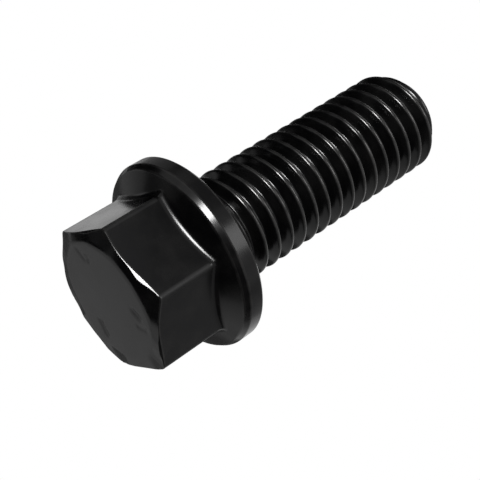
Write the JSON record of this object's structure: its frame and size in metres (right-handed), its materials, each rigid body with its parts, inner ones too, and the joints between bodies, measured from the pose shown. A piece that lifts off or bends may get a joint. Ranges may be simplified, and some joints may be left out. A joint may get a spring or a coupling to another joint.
{
  "type": "flange bolt",
  "caption": "Hexagon flange bolt with a fully threaded shank, a chamfered head and a round flange forged on under the hexagon.",
  "frame": {"origin": "centre of the bearing face under the flange, on the bolt's axis", "axes": "+Z along the bolt's axis from the head to the point; two corners of the hexagon lie on the X axis, so two flats are square to Y; the bolt stands on the flat end of its head"},
  "size_m": [0.014, 0.014, 0.0294],
  "materials": {
    "black_steel": "black oxide, semi-gloss"
  },
  "bodies": {
    "root": {"flange_bolt": "black_steel"}
  },
  "joints": []
}
